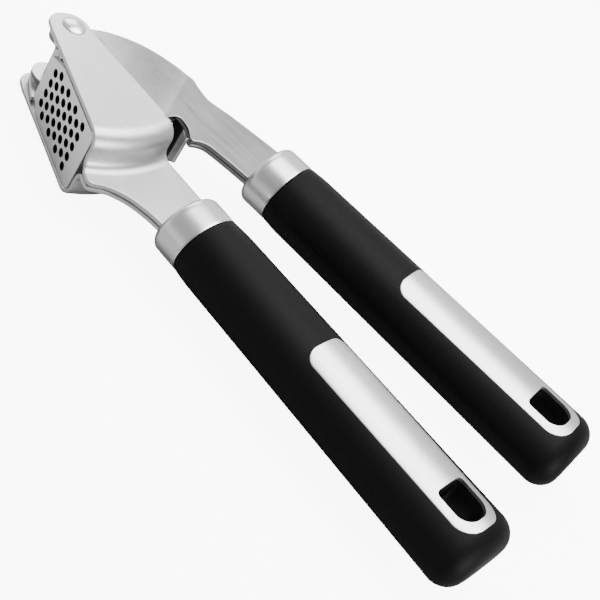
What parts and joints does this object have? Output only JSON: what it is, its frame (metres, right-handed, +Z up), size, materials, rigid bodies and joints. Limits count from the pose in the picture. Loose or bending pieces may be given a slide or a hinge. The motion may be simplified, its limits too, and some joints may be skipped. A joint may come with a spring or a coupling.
{
  "type": "garlic press",
  "caption": "Hinged garlic press with a perforated swing-out basket, a pinned plunger and two soft oval handles with hanging holes.",
  "frame": {"origin": "the press lies on its side; the origin is the middle of its bounding box at the level of its underside", "axes": "+X from the pivot towards the handle ends, along the basket arm's handle; +Y from the basket arm towards the press arm; +Z up, along the pivot rivet"},
  "size_m": [0.189, 0.0896, 0.0261],
  "materials": {
    "brushed_steel": "satin brushed stainless steel sheet",
    "polished_steel": "polished stainless steel",
    "soft_black": "matt soft-touch black over-moulding",
    "black_nylon": "plain black moulded nylon"
  },
  "bodies": {
    "basket_arm": {"basket_arm_back_shell": "brushed_steel", "basket_arm_core": "black_nylon", "basket_arm_ferrule": "brushed_steel", "basket_arm_front_shell": "brushed_steel", "basket_arm_grip": "soft_black", "basket_arm_hole_liner": "black_nylon", "basket_arm_inlay": "brushed_steel", "basket_arm_tang_pin": "brushed_steel", "pivot_rivet": "polished_steel", "pivot_washer_back": "polished_steel", "pivot_washer_front": "polished_steel"},
    "press_arm": {"plunger_pin": "polished_steel", "press_arm_back_shell": "brushed_steel", "press_arm_bridge": "brushed_steel", "press_arm_core": "black_nylon", "press_arm_ferrule": "brushed_steel", "press_arm_front_shell": "brushed_steel", "press_arm_grip": "soft_black", "press_arm_hole_liner": "black_nylon", "press_arm_inlay": "brushed_steel", "press_arm_tang_pin": "brushed_steel"},
    "basket": {"basket": "brushed_steel"},
    "plunger": {"plunger": "brushed_steel"}
  },
  "joints": [
    {"name": "press_hinge", "type": "hinge", "parent": "basket_arm", "child": "press_arm", "pos_m": [-0.0886, -0.0196, 0.01304], "axis": [0, 0, 1], "range_deg": [-7.8, 100]},
    {"name": "basket_hinge", "type": "hinge", "parent": "basket_arm", "child": "basket", "pos_m": [-0.0886, -0.0196, 0.01304], "axis": [0, 0, 1], "range_deg": [-75, 0]},
    {"name": "plunger_hinge", "type": "hinge", "parent": "press_arm", "child": "plunger", "pos_m": [-0.06301, -0.0242, 0.01304], "axis": [0, 0, 1], "range_deg": [-25.5, 2.2]}
  ],
  "couplings": [
    {"joint": "plunger_hinge", "follows": "press_hinge", "ratio": -0.25}
  ]
}
